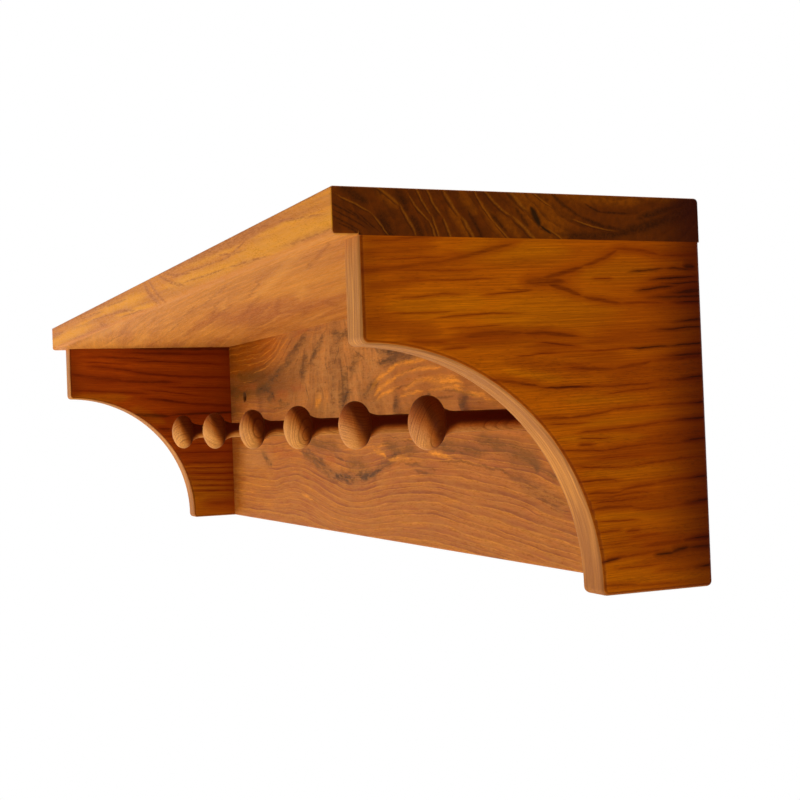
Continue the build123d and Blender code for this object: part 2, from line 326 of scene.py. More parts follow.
class Wood:
    """One piece's wood: a log laid through it, its masks, and at the end a finish in the colours given."""

    def __init__(self, name, seed):
        self.material = bpy.data.materials.new(name)
        self.material.use_nodes = True
        self.material.node_tree.nodes.clear()
        self.wires = Wires(self.material.node_tree)
        self.seed = seed
        given = self.wires.node("ShaderNodeTexCoord").outputs
        self.where = self.wires.scaled(given["Object"], TO_MM)
        self.bent = self.where
        self.facing = self.wires.use(FACING, normal=given["Normal"])

    def push(self, centre, reach, push):
        """Pushes the grain aside round a centre, before the log is laid."""
        made = self.wires.use(PUSHED_GRAIN, position=self.bent, centre=centre, reach=reach, push=push)
        self.bent = made["Position"]

    def laid(self, pith, turn):
        """The place in a log that runs along X round a pith, turned by degrees about X, Y and Z."""
        turn = tuple(math.radians(angle) for angle in turn)
        inputs = {"Vector": self.bent, "Location": pith, "Rotation": turn}
        return self.wires.node("ShaderNodeMapping", inputs, vector_type="TEXTURE").outputs["Vector"]

    def lay_log(self, pith, turn):
        self.log = self.laid(pith, turn)

    def grow(self, streak_length, streak_width, pore_length, pore_width, **rings):
        """Rings, fibres and pores in the log as it lies."""
        made = self.wires.use(GROWTH_RINGS, position=self.log, seed=self.seed, **rings)
        self.late, self.early = made["Late"], made["Early"]
        self.ramp, self.tone = made["Ramp"], made["Tone"]
        self.band, self.fine = self.fibres(self.log, streak_length, streak_width, seed=0.0)
        made = self.wires.use(OPEN_PORES, position=self.log, length=pore_length, width=pore_width,
                              ramp=self.ramp, seed=self.seed)
        self.pore = made["Pore"]

    def fibres(self, log, length, width, seed):
        """Broad bands and fine fibres down a log."""
        made = self.wires.use(FIBRES, position=log, length=length, width=width, seed=self.seed + seed)
        return made["Band"], made["Fine"]

    def fanned(self, centre, reach, waver):
        """The place in grain that fans out from a centre."""
        place = self.wires.wavered(self.where, size=40.0, amount=waver)
        return self.wires.use(FANNED_GRAIN, position=place, centre=centre, reach=reach)["Position"]

    def bowed(self, slope, bow):
        """The place in grain that crosses the shelf at a slope, which lessens along it."""
        wires = self.wires
        across, depth, height = (wires.part(self.where, axis) for axis in (X, Y, Z))
        slope = wires.math("ADD", slope, wires.math("MULTIPLY", across, -bow))
        depth = wires.math("ADD", depth, wires.math("MULTIPLY", across, slope))
        return wires.node("ShaderNodeCombineXYZ", {0: across, 1: depth, 2: height}).outputs[0]

    def clouds(self, length, width, seed=7.0, log=None):
        """Broad soft changes of colour down the grain."""
        return self.fibres(log or self.log, length, width, seed)[0]

    def leaves(self, log, length, height, width, seed):
        """Thin upright layers of a log, as its years are far from the pith."""
        wires = self.wires
        steps = wires.node("ShaderNodeCombineXYZ", {0: length, 1: width, 2: height}).outputs[0]
        place = wires.vector("DIVIDE", wires.seeded(log, self.seed + seed), steps)
        return wires.rise(wires.noise(place, detail=3.0, roughness=0.6)[0], 0.36, 0.64)

    def blots(self, log, length, width, seed, low=0.52, high=0.64):
        """Ragged spots drawn out along a log's grain."""
        wires = self.wires
        place = wires.stretched(wires.seeded(log, self.seed + seed), length, width)
        return wires.rise(wires.noise(place, detail=4.0, roughness=0.62)[0], low, high)

    def patch(self, centre, reach, ragged, grain):
        made = self.wires.use(SOFT_PATCH, position=self.where, centre=centre, reach=reach, ragged=ragged,
                              grain=grain)
        return made["Patch"]

    def strokes(self, plane, lines, waver=1.5, part="Depth"):
        """Lines as listed, in one plane of the piece, wavering a little: the depth in the nearest one."""
        wires = self.wires
        far_outside = -9.0
        broad, small, small_share = 12.0, 3.0, 0.25
        flat = wires.node("ShaderNodeCombineXYZ", {0: wires.part(self.where, plane[0]),
                                                   1: wires.part(self.where, plane[1])}).outputs[0]
        flat = wires.wavered(wires.wavered(flat, broad, waver), small, waver * small_share)
        place = wires.node("ShaderNodeCombineXYZ", {0: wires.part(flat, X), 1: wires.part(flat, Y), 2: 1.0})
        deepest = far_outside
        for from_u, from_v, to_u, to_v, width, *bow in lines:
            half_run, half_climb = (to_u - from_u) / 2, (to_v - from_v) / 2
            middle = (from_u + half_run, from_v + half_climb)
            half = math.hypot(half_run, half_climb)
            forward = measure((half_run, half_climb), middle, half * half)
            aside = measure((-half_climb, half_run), middle, half * width / 2)
            made = wires.use(STROKE, place=place.outputs[0], forward=forward, aside=aside,
                             bow=2 * sum(bow) / width)
            deepest = wires.math("MAXIMUM", made[part], deepest)
        return deepest

    def inked(self, depth):
        """The lines themselves."""
        return self.wires.rise(depth, 0.0, 0.8)

    def brushed(self, depth):
        """The same with soft edges, as broad marks have."""
        return self.wires.rise(depth, -0.9, 0.9)

    def stained(self, depth):
        """The soft stain round the lines."""
        return self.wires.rise(depth, -2.4, 0.7)

    def along(self, axis, low, high, least=0.0):
        """The least before low and one after high, in millimetres along an axis."""
        return self.wires.rise(self.wires.part(self.where, axis), low, high, least)

    def both(self, *masks):
        """Where all of the masks are."""
        product = masks[0]
        for mask in masks[1:]:
            product = self.wires.math("MULTIPLY", product, mask)
        return product

    def broken(self, mask, least=0.55):
        """A mask that the fine fibre breaks up a little."""
        return self.both(mask, self.wires.rise(self.fine, 0.0, 1.0, least, 1.0))

    def layers(self, colour, *layers):
        """A colour with others over it, each given as its mask, its strength and its colour."""
        for mask, strength, over in layers:
            colour = self.wires.mix(self.wires.math("MULTIPLY", mask, strength), colour, over)
        return colour

    def finish(self, colour, roughness, specular, relief):
        """Oil that stands a little drier on the fibre and sinks into the pores; relief is in millimetres."""
        wires = self.wires
        drier, dull_pore = 0.06, 0.15
        fibre_stands, late_stands = 0.35, 0.3
        dry = wires.rise(self.fine, 0.0, 1.0, roughness - drier, roughness + drier)
        dull = wires.math("ADD", dry, wires.math("MULTIPLY", self.pore, dull_pore))
        height = wires.math("SUBTRACT", wires.math("MULTIPLY", self.fine, fibre_stands), self.pore)
        height = wires.math("ADD", height, wires.math("MULTIPLY", self.late, late_stands))
        bump = wires.node("ShaderNodeBump", {"Height": height, "Strength": 1.0, "Distance": relief / TO_MM})
        inputs = {"Base Color": colour, "Roughness": dull, "Specular IOR Level": specular,
                  "Normal": bump.outputs["Normal"]}
        shader = wires.node("ShaderNodeBsdfPrincipled", inputs)
        out = wires.node("ShaderNodeOutputMaterial")
        wires.feed(out.inputs["Surface"], shader.outputs["BSDF"])
        return self.material


# ------------------------------------------------------------------ lines of the figure, listed one by one
# each goes from one place to another, across the face and up it, and then comes its width; a line that
# bends gives last how far its middle stands to the left of the straight way, all in millimetres

SHELF_FRONT_DARK = (
    (16, 64.5, 58, 48, 2.8, -1.2), (30, 65, 74, 47, 1.8, -1.2), (55, 66, 116, 53, 1.6, -0.8),
    (62, 66, 130, 58, 1.2, -0.6), (-86, 55, -14, 51, 1.4, 0.8), (-134, 52, -104, 47, 3.0, 0.4),
    (60, 66.6, 290, 63.6, 4.4), (186, 61, 236, 57, 0.9, -0.8), (190, 57, 242, 62, 0.9, -1.4),
    (282, 63, 344, 57, 1.0), (300, 50.4, 430, 46.6, 2.0), (-440, 66.6, -60, 64.2, 3.4),
    (-440, 60, -300, 58.5, 3.0), (-250, 49.6, -90, 47.4, 2.0), (-110, 62.5, -40, 60.5, 1.2),
    (-180, 57.4, -80, 54.8, 0.9, 0.4), (-220, 62.4, -120, 60.2, 1.2), (90, 60.4, 190, 57.6, 0.8),
    (-60, 50.6, 20, 48.4, 1.0), (120, 54.4, 200, 52, 0.8), (210, 52, 270, 49.4, 1.0))
SHELF_FRONT_GOLD = (
    (-440, 55, -170, 53.4, 7.0), (-150, 60.4, 20, 57.4, 6.0, 0.5), (70, 57, 240, 52, 5.0),
    (200, 55, 440, 50.6, 8.0), (-80, 53, 50, 49.6, 2.6), (-240, 58.6, -130, 57.6, 2.0),
    (120, 62, 230, 60, 2.0), (250, 60.6, 340, 58.4, 2.4))
SHELF_UNDER_DARK = (
    (-200, -95, -60, -116, 3.0), (-120, -100, 70, -132, 3.0, -1.0), (-20, -100, 126, -132, 3.0),
    (-110, -69, 80, -112, 4.0, 1.0), (50, -58, 92, -80, 7.0), (-26, -56, 66, -82, 6.0),
    (-440, -62, -250, -80, 9.0), (-240, -36, -90, -48, 5.0), (-280, -142, -150, -152, 2.0),
    (-150, -60, -20, -76, 5.0), (0, -82, 110, -116, 3.0), (60, -148, 190, -167, 2.0),
    (-80, -132, 70, -154, 2.0), (240, -144, 340, -168, 2.4), (-340, -96, -220, -108, 2.6),
    (-300, -122, -190, -134, 1.8), (-60, -112, 90, -146, 1.6), (-160, -118, -60, -132, 1.6),
    (-60, -84, 60, -112, 2.0), (110, -134, 220, -160, 1.6), (-330, -72, -200, -88, 3.0))
SHELF_UNDER_PALE = (
    (-340, -108, -170, -130, 5.0), (-186, -90, -50, -110, 2.6), (-344, -158, -60, -171, 7.0),
    (-80, -38, 30, -56, 4.0), (-260, -94, -130, -109, 3.0), (-140, -122, 30, -149, 3.0),
    (100, -128, 300, -168, 6.0), (-50, -82, 60, -104, 2.0), (90, -96, 170, -122, 5.0),
    (-220, -62, -90, -82, 3.0), (-160, -146, 10, -164, 3.0), (0, -120, 120, -150, 2.0),
    (-330, -136, -200, -146, 3.0), (-100, -60, 10, -80, 2.4))
SHELF_END_PALE = (
    (-156, 67, -144, 59, 1.2, 0.6), (-144.5, 60.5, -137.5, 46, 1.2, 0.5), (-140.5, 64, -131, 53, 0.9, -0.6),
    (-131.5, 54, -127.6, 44, 0.9), (-137.5, 68, -130, 55.6, 1.0, -0.6), (-130.4, 56.6, -126, 44, 1.0),
    (-132.6, 68, -125.4, 55, 1.0, -0.5), (-125.6, 56, -120.6, 44, 1.0), (-125.4, 68, -117, 55, 1.4, -0.4),
    (-117.4, 56, -110, 44, 1.4), (-111.4, 68, -101, 53, 0.9, -0.8), (-101.4, 54, -94, 45, 0.9),
    (-106.8, 68, -93.5, 56, 1.3, -0.5), (-94.2, 57, -81, 45.4, 1.7), (-96, 68, -86, 58.6, 1.8, -0.3),
    (-77, 51.6, -68.6, 46, 0.9, 0.2), (-172, 63.4, -156, 55, 0.8, 0.3), (-157, 56, -149, 47, 0.8, 0.2),
    (-66, 56, -44, 51.2, 0.7, -0.6), (-86, 68, -74, 60, 0.6))
SHELF_END_DARK = (
    (-75, 66.4, -60, 56.6, 1.5, -0.8), (-62, 57.4, -40, 51.8, 1.6, -1.0), (-73, 49.4, -36, 50.6, 3.2, -1.4),
    (-42, 50.6, -13, 58, 4.4, -0.6), (-18, 56.6, 6, 65, 6.6, -0.4), (-33, 56.4, -11, 63, 2.6),
    (-16, 61.4, 4, 67, 3.0), (-58, 62.6, -49, 58.7, 0.9, -0.6), (-51, 59, -36, 58.6, 0.9, -0.3),
    (-153.4, 57, -147, 45, 5.0), (-146, 67, -140.6, 57, 3.6), (-139.6, 56, -134, 45, 3.2),
    (-170, 67, -158, 59.4, 3.6), (-174, 60, -160, 52, 0.7, 0.2), (-174, 57.4, -159, 49.6, 0.7, 0.2),
    (-174, 54.6, -162, 48.6, 0.7, 0.2), (-172, 52, -160, 46.4, 0.7, 0.2), (-167, 57.6, -157, 50, 0.7),
    (-163, 56, -153, 48, 0.6), (-114, 58, -107, 46, 1.8), (-104, 58, -96, 50, 1.4), (-92, 60, -86, 52, 1.6))
SHELF_END_AMBER = (
    (-93, 68, -68, 48, 13.0), (-70, 66, -30, 64, 6.0), (-123, 60, -114, 47, 3.6), (-118, 67, -110, 56, 4.0),
    (-108, 62, -97, 47, 4.0), (-154, 65, -145, 58, 3.6), (-100, 58, -90, 47, 3.6), (-30, 66, -12, 66, 3.0))
SHELF_END_KNOT = ((-85, 61, -79.5, 51.5, 4.6), (-80.5, 53, -74.5, 48.6, 1.4))

BRACKET_LINES = (
    (-180, 31.5, -120, 38, 2.4, -0.8), (-128, 37, -92, 45.5, 2.6, -0.6), (-158, 45, -128, 47, 2.0),
    (-152, 37.4, -122, 39, 0.8), (-146, 33, -112, 33.6, 0.8), (-138, 29, -104, 30, 0.7),
    (-90, 29, -68, 29, 5.0), (-82, 30, -58, 36.6, 3.0, -0.4), (-62, 35.6, -42, 43.6, 2.6, -1.0),
    (-46, 43.6, -20, 41, 2.2, 0.6), (-24, 41, 15, 43.4, 2.0, -0.8), (-80, 28.4, -60, 22.6, 3.0, 0.4),
    (-62, 23.2, -40, 19.8, 2.4, -0.6), (-44, 20, -18, 19.8, 1.6, 0.2), (-20, 19.6, 15, 21, 2.2),
    (-56, 30.6, -46, 30.6, 0.9), (-98, 25.6, -84, 25.4, 0.7), (-108, 23, -84, 25.2, 0.8, 0.3),
    (-130, 13.9, -94, 15.6, 0.9, 0.6), (-150, 15.6, -124, 16.6, 0.7), (-146, 22, -118, 23.6, 0.9, 0.3),
    (-126, 9.4, -100, 10.6, 0.7), (-120, 6.2, -88, 7.6, 3.0, 0.4), (-92, 7.6, -62, 5.6, 2.6, 0.4),
    (-92, 7.2, -78, 7.6, 0.8), (-128, 0.8, -116, 1.9, 1.0), (-142, 4.6, -126, 3.6, 1.6),
    (-84, 3.4, -64, 1.4, 1.2, 0.2), (-94, -2.6, -74, -1.1, 0.8, 0.3), (-60, -0.4, -36, 0.6, 0.8),
    (-70, -7.3, -44, -8.4, 2.4, -0.3), (-48, -8.4, -26, -4.6, 2.2, -0.6), (-30, -5, 15, -1.4, 2.4, -0.8),
    (-108, -11.8, -82, -15.2, 1.8, 0.4), (-86, -15.3, -52, -15.6, 1.4, -0.2),
    (-58, -15.6, -24, -14.4, 1.4, -0.3), (-28, -14.2, 15, -11.2, 1.8, -0.4),
    (-52, -19, -18, -16.6, 1.0, 0.3), (-86, -28.5, -68, -28.6, 1.6), (-72, -28.6, -46, -25.6, 1.3, -0.4),
    (-50, -25.8, -26, -24.6, 1.2, 0.2), (-30, -24.8, 15, -22.8, 1.4, -0.3),
    (-66, -35.3, -44, -34.2, 1.2, 0.2), (-48, -34.2, -22, -32, 1.2, -0.2), (-26, -32.2, 15, -30, 1.6, -0.3),
    (-80, -31.4, -60, -31, 0.7), (-66, -40.4, -58, -40.4, 1.4), (-76, -42.4, -50, -43, 1.1),
    (-54, -43, -30, -41.6, 1.1, 0.2), (-34, -41.5, -12, -41.6, 1.1, 0.2),
    (-16, -41.6, 15, -37.4, 1.6, -0.3), (-66, -37.6, -50, -38, 0.7), (-68, -49.2, -40, -50.8, 1.1, -0.4),
    (-44, -50.8, 0, -47.6, 1.1, 0.4), (-58, -46.4, -30, -46, 0.7), (-68, -56, -46, -56, 1.4, 0.2),
    (-64, -61, -44, -61, 1.6, -0.3), (-48, -61, -26, -58.4, 1.8, 0.3), (-30, -58.8, 15, -54.8, 2.0, 0.4),
    (-58, -63.6, -30, -61.6, 1.0, 0.2), (-60, -65.6, -34, -64.2, 0.9), (-62, -68.6, -38, -68, 2.0, 0.5),
    (-42, -68.2, -16, -69, 1.8, -0.6), (-22, -69, 15, -66, 2.2, -0.4), (-58, -73.4, -38, -73.8, 0.8),
    (-58, -78.4, -46, -77.6, 1.0), (-44, -78.6, -37, -78.2, 1.3), (-42, -81.4, -26, -80.6, 1.3, 0.2),
    (-36, -85.6, -14, -84, 2.6), (-18, -84, 15, -82.6, 3.4), (-57, -90.4, -42, -89, 1.8, 0.3),
    (-46, -89.2, -26, -87.4, 1.6, -0.2), (-30, -96.8, -14, -96.2, 1.4, 0.3), (-18, -96.2, 15, -94.4, 2.4),
    (-57, -100.8, -38, -101.8, 1.6), (-42, -101.8, -16, -102.6, 1.2), (-50, -94, -28, -93.4, 0.8))
BRACKET_VEINS = (
    (-34, 25.4, -14, 27.6, 1.1, 0.1), (-26, 22.4, 15, 23.4, 1.5, 0.1), (-16, 24.4, 15, 26.6, 2.6),
    (-37, 33.4, -20, 35.4, 0.8, 0.1), (-26, 30.2, -2, 31.6, 1.1, 0.3), (-18, 35.4, -4, 35.2, 0.8),
    (-9.5, 36.6, -3, 36.4, 2.6), (-20, 28.4, 15, 29.4, 0.9, 0.2), (-14, 20.4, 15, 21.2, 1.2),
    (-38, 0.5, -18, 1.2, 1.0, -0.1), (-20, 1.2, 15, 3.8, 1.1, -0.2), (-14, 11.6, 15, 14.4, 1.4),
    (-18, -3, 15, -1, 1.6, -0.2), (-24, 8.2, 15, 10.6, 1.0), (-14, -13, 15, -10.8, 1.3),
    (-8, -24, 15, -22.6, 1.2), (-14, -31.2, 15, -30, 1.2), (-80, -15.4, -62, -15.7, 0.6),
    (-30, -89.4, -20, -89.2, 1.6), (-22, -89, -12, -87.4, 2.2, 0.2), (-14, -87.6, 15, -87, 2.0),
    (-12, -40.6, 15, -38, 1.2), (-12, -67.8, 15, -66, 1.6), (-8, -96, 15, -94.4, 1.8),
    (-12, -83.6, 15, -82.6, 1.6), (-57, -90.6, -48, -89.6, 1.0), (-10, -57, 15, -55, 1.4))
BRACKET_BRIGHT = (
    (-112, 14, -42, 18, 16.0), (-64, 33, -24, 35, 10.0), (-118, 42, -66, 42, 9.0),
    (-64, -53, -14, -53, 8.0), (-66, -32, -20, -29, 3.6), (-76, -37.6, -30, -38, 3.0),
    (-60, -72, -16, -71.4, 4.0), (-58, -98, -4, -99.4, 5.0), (-152, 18, -104, 20, 9.0),
    (-72, -21.6, -30, -21, 4.0), (-100, -8, -72, -12, 3.0))
BRACKET_RED = (
    (-162, 12, -128, 8, 9.0), (-60, 3, -10, 8, 9.0), (-90, 2, -40, -4, 7.0), (-50, -12, -8, -8, 5.0),
    (-64, -64, -10, -66, 6.0), (-62, -46, -10, -44, 5.0), (-58, -84, -12, -82, 8.0),
    (-162, 40, -128, 43, 6.0), (-38, -92, 6, -90, 7.0), (-30, -64, 8, -62, 6.0), (-130, 4, -70, 7, 6.0),
    (-100, -4, -60, -8, 6.0), (-36, -40, 6, -36, 5.0), (-160, 26, -134, 30, 5.0), (-34, 24, 6, 28, 12.0))

LEFT_BRACKET_LINES = (
    (-146, 31.5, -104, 26, 2.4, 0.8), (-112, 27, -64, 20.8, 2.8, -0.6), (-72, 21.5, -12, 20, 3.0, -0.4),
    (-166, 26, -112, 18.3, 4.6, -0.6), (-124, 18.6, -66, 16, 3.8, -0.4), (-90, 22.8, 10, 17, 3.0),
    (-162, 11, -126, 9, 1.8), (-134, 9.3, -92, 6.2, 1.6), (-100, 2.8, -52, -4.4, 3.2, 0.4),
    (-66, -2.4, 10, -9, 4.0), (-88, -24.8, -74, -25.6, 3.0), (-66, -56, 10, -59, 2.0),
    (-64, -66, 10, -69, 2.0), (-62, -71.5, 10, -74.5, 1.4), (-60, -77, 10, -79.5, 1.4),
    (-58, -82, 10, -84, 1.6), (-72, -47, 10, -48, 2.0), (-150, 40, -90, 37, 2.0, 0.4),
    (-110, 36, -20, 31, 2.4, 0.4), (-46, -93, 0, -96, 6.0), (-120, 43, 10, 40, 4.0), (-80, 12, 10, 9, 1.8),
    (-84, -32, 10, -35, 1.4), (-78, -39, 10, -41, 1.4), (-150, 35.6, -110, 33, 0.9), (-96, 10, -50, 4, 1.0),
    (-64, -61, 0, -63, 1.0))
LEFT_BRACKET_BRIGHT = (
    (-66, -80, 10, -88, 12.0), (-62, -60, 10, -62, 8.0), (-168, 3, -110, 4, 8.0), (-110, -6, -80, -20, 8.0))
LEFT_BRACKET_BLOTCHES_AND_SHADE = (
    # the last row, along the top edge just under the shelf, is painted shade; the others are blotches in the
    # wood
    (-111, -11.6, -73, -14, 4.6), (-82, -13, 10, -12, 3.4), (-120, 47, 10, 45, 4.0))

BACK_AMBER = (
    (-440, 43, -172, 44, 12.0), (-440, 35, -190, 36, 14.0, -1.0), (-440, 26, -232, 27, 10.0, -1.0),
    # the rows from here on, low down beside the left bracket, are painted shade
    (-440, -50, -300, -54, 16.0), (-440, -70, -304, -74, 20.0), (-440, -92, -306, -94, 20.0),
    (-440, -38, -290, -40, 8.0))
BACK_OLIVE = (
    (-440, 6, -262, 4, 12.0), (-318, 19, -226, 16, 9.0), (-440, -14, -300, -10, 8.0),
    (-262, 4, -216, 10, 10.0), (-60, -10, -38, 10, 12.0), (-36, 6, -14, 22, 8.0), (-48, -54, 0, -60, 10.0),
    (20, -42, 80, -46, 7.0), (90, -40, 180, -46, 6.0), (160, -38, 226, -46, 8.0),
    (-130, -40, -60, -44, 8.0), (190, -42, 240, -52, 12.0))
BACK_GREY = (
    (-262, 2, -214, 6, 6.0), (-232, 9, -176, 21, 7.0), (-184, 20, -146, 31, 8.0), (-156, 30, -122, 42, 8.0),
    (-142, 10, -122, 28, 14.0), (-228, -4, -206, 0, 6.0), (-122, 18, -84, 38, 6.0),
    (-58, -14, -32, -2, 9.0), (-10, -8, 24, 3, 6.0), (14, 24, 56, 14, 8.0), (16, 12, 84, 12, 6.0, 1.0),
    # the first two on the next line, above the roots of two pegs, are painted shadows of the pegs
    (43, -22, 50, -9, 9.0), (144, -22, 152, -10, 10.0), (-146, -45, -84, -62, 8.0, -1.0),
    (-96, -62, -24, -66, 9.0, -1.0), (-40, -66, 14, -62, 8.0), (0, -62, 52, -46, 6.0, -1.0),
    (-200, -9, -170, -10, 4.0), (92, -20, 104, -12, 8.0), (-250, -48, -222, -58, 6.0),
    (-70, 40, -30, 34, 6.0))
BACK_DARK = (
    (-224, 11, -196, 15, 2.0), (-212, 13, -178, 24, 2.4, 0.5), (-250, 5, -214, 1, 2.0),
    (-216, 1, -206, -6, 3.4), (-228, -11, -176, -13, 1.4, 0.3), (-164, 30, -138, 40, 2.6),
    (-112, 24, -88, 38, 3.0), (-106, 32, -80, 42, 2.4), (-152, 20, -142, 28, 2.0), (-66, 16, -52, 30, 2.2),
    (-50, -14, -38, -4, 4.0), (-42, 14, -20, 8, 2.2), (-4, -7, 18, 1, 3.0, 0.3), (2, -3, 22, -1, 2.0),
    (20, 13, 58, 10, 2.4, 0.5), (60, 15, 104, 12, 3.0, 0.6), (28, 20, 66, 16, 2.4, 0.5),
    (54, 3, 96, 7, 1.0, 0.5), (40, -8, 84, -2, 1.2, 0.5), (96, -16, 136, -13, 1.6),
    (120, -9, 168, -14, 1.4), (-132, -44, -98, -58, 2.6, -1.0), (-108, -52, -64, -64, 5.0, -1.0),
    (-76, -64, -28, -66, 5.0, -0.6), (-34, -66, 6, -63, 4.0, -0.6), (-4, -63, 26, -56, 2.0, -0.5),
    (30, -50, 52, -47, 2.0), (56, -54, 108, -57, 2.2, 0.5), (72, -58, 104, -60, 2.4),
    (112, -52, 168, -53, 1.4, 0.6), (160, -53, 224, -60, 1.6, 0.4), (196, -56, 266, -73, 6.0),
    (214, -64, 262, -76, 4.0), (226, -52, 262, -60, 3.0), (100, -44, 156, -48, 1.2, 0.4),
    (30, -36, 90, -42, 1.2), (-72, -48, -52, -54, 2.4), (-216, 16, -196, 8, 1.6), (-132, 6, -122, -10, 1.8),
    (-84, 24, -78, 4, 1.8), (-24, 24, -4, 16, 1.6), (-98, 6, -90, -8, 1.6), (-300, 4, -284, 5, 2.4),
    (-440, -4, -316, -5, 2.0), (-440, -16, -318, -15, 2.4), (-290, 13, -246, 12, 1.4))
BACK_RED = (
    (-214, -3, -170, -1, 8.0), (-316, 8, -254, 8, 5.0), (-330, -8, -286, -8, 5.0), (-166, 4, -130, 2, 7.0),
    (-92, -53, -70, -52, 5.0), (-240, -46, -150, -50, 5.0), (-160, 44, -120, 46, 5.0),
    (-150, -62, -110, -70, 2.0))
BACK_ORANGE = (
    (4, -5, 34, 6, 3.6, 1.0), (28, 4, 66, 11, 2.6, 1.0), (56, 9, 112, 11, 3.0, 1.2),
    (10, -9, 44, 1, 3.0, 1.0), (38, -1, 78, 5, 2.2, 1.0), (70, 4, 118, 4, 2.6, 1.2),
    (14, -12, 52, -5, 2.6, 0.6), (60, -7, 104, -1, 3.0, 1.0), (98, -3, 148, -6, 5.0, 1.0),
    (100, -9, 150, -8, 2.0, 0.6), (52, -12, 92, -9, 2.0, 0.6), (132, -9, 188, -18, 3.0, 0.8),
    (6, -45, 28, -50, 3.0, 0.5), (-108, -14, -96, -4, 8.0), (30, -52, 66, -50, 2.4),
    (96, -46, 130, -50, 2.4), (-150, -80, -122, -84, 2.0, 0.6))
BACK_PALE = (
    (-270, 19.4, -214, 24.6, 1.8, -0.6), (-226, 22.6, -186, 35, 2.0, -0.6), (-196, 32, -160, 46, 2.2),
    (-290, 26.6, -218, 30, 1.6, -0.6), (-228, 28.6, -192, 38, 1.6, -0.4), (-200, 36, -176, 47, 1.8),
    (-340, 33.4, -244, 32, 1.4, -0.4), (-254, 31.6, -206, 38, 1.6, -0.6), (-214, 37, -186, 48, 1.8),
    (-440, 39.6, -246, 38.6, 1.2), (-256, 38.6, -210, 45, 1.4, -0.3), (-300, 12.4, -266, 13, 1.0, 0.5),
    (-440, 45, -258, 44.6, 1.2), (-440, 25, -282, 23.6, 1.4), (-320, 29.4, -250, 27.6, 1.0, -0.4),
    (-290, 35.6, -236, 35.6, 1.0, -0.4), (-280, 42, -226, 42.6, 1.0, -0.4),
    (-240, 25.4, -206, 31, 1.0, -0.3), (-190, -44, -150, -46, 4.0), (-186, 28, -166, 36, 1.2),
    (-210, 43.4, -196, 48, 1.2), (-338, -66, -280, -67, 1.6), (-338, -76, -250, -76, 1.2),
    (-338, -82, -262, -83, 1.6), (-338, -88, -280, -89, 1.4), (-60, -46, 40, -42, 3.0),
    (40, -38, 110, -40, 2.4))
BACK_UMBER = (
    (-440, 36.4, -250, 36.2, 1.6), (-254, 36, -212, 42, 1.6, -0.5), (-440, 42.4, -240, 42.6, 1.6),
    (-440, 29.4, -262, 28.6, 2.0), (-264, 22.6, -216, 27.6, 1.6, -0.5), (-220, 27, -190, 36.6, 1.6, -0.4),
    (-194, 36, -170, 46, 1.6), (-440, 20.6, -258, 19.6, 2.0), (-258, 14, -212, 19.6, 2.0, -0.6),
    (-214, 18.6, -180, 31, 2.0, -0.6), (-184, 29.6, -154, 44, 2.0), (-440, 9, -268, 8.6, 2.0),
    (-216, 33, -190, 43, 1.2, -0.4), (-440, 47, -200, 47, 2.4))


# ------------------------------------------------------------------ the finish of each piece
def shelf_teak():
    """Sawn a little across the grain: streaky in front and below, with dark steep rings at the ends."""
    wood = Wood("shelf teak", seed=1.7)
    wood.lay_log(pith=(RIGHT_END, -43.0, SHELF_TOP + 33.5), turn=(0.0, 5.0, -7.0))
    wood.grow(ring_width=6.0, wander=7.0, wander_length=300.0, ripple=5.0, ripple_length=90.0,
              ripple_width=11.0, streak_length=260.0, streak_width=3.0, pore_length=6.0, pore_width=0.3)
    lengthways = wood.laid(pith=(0.0, 0.0, 0.0), turn=(0.0, 1.0, 0.0))
    slanting = wood.bowed(slope=0.085, bow=0.00021)
    colour = wood.layers(
        shelf_front(wood, lengthways),
        (wood.facing["Up and down"], 1.0, shelf_under(wood, slanting)),
        # painted shade on the rounded edges along the shelf, toning down the light they catch
        (wood.facing["Long edge"], 0.5, rgb(176, 104, 40)),
        (wood.facing["Sideways"], 1.0, shelf_ends(wood)))
    return wood.finish(colour, roughness=0.5, specular=0.04, relief=0.06)


def shelf_front(wood, log):
    """Smooth and golden, with long streaks that sink a little to the right."""
    band, fine = wood.fibres(log, length=130.0, width=1.6, seed=2.0)
    russet = wood.clouds(length=190.0, width=6.0, log=log)
    golden = wood.clouds(length=230.0, width=5.0, seed=8.0, log=log)
    dark = wood.strokes((X, Z), SHELF_FRONT_DARK, waver=1.3)
    gold = wood.brushed(wood.strokes((X, Z), SHELF_FRONT_GOLD, waver=2.5))
    return wood.layers(
        rgb(212, 130, 34),
        (russet, 0.6, rgb(176, 100, 36)),
        (golden, 0.4, rgb(226, 148, 40)),
        (band, 0.25, rgb(166, 94, 40)),
        (wood.late, 0.16, rgb(150, 86, 44)),
        (fine, 0.18, rgb(156, 90, 42)),
        (gold, 0.55, rgb(228, 152, 30)),
        (wood.broken(wood.stained(dark), 0.4), 0.4, rgb(166, 90, 46)),
        (wood.broken(wood.brushed(dark), 0.3), 0.55, rgb(146, 78, 34)),
        (wood.pore, 0.1, rgb(120, 60, 26)))


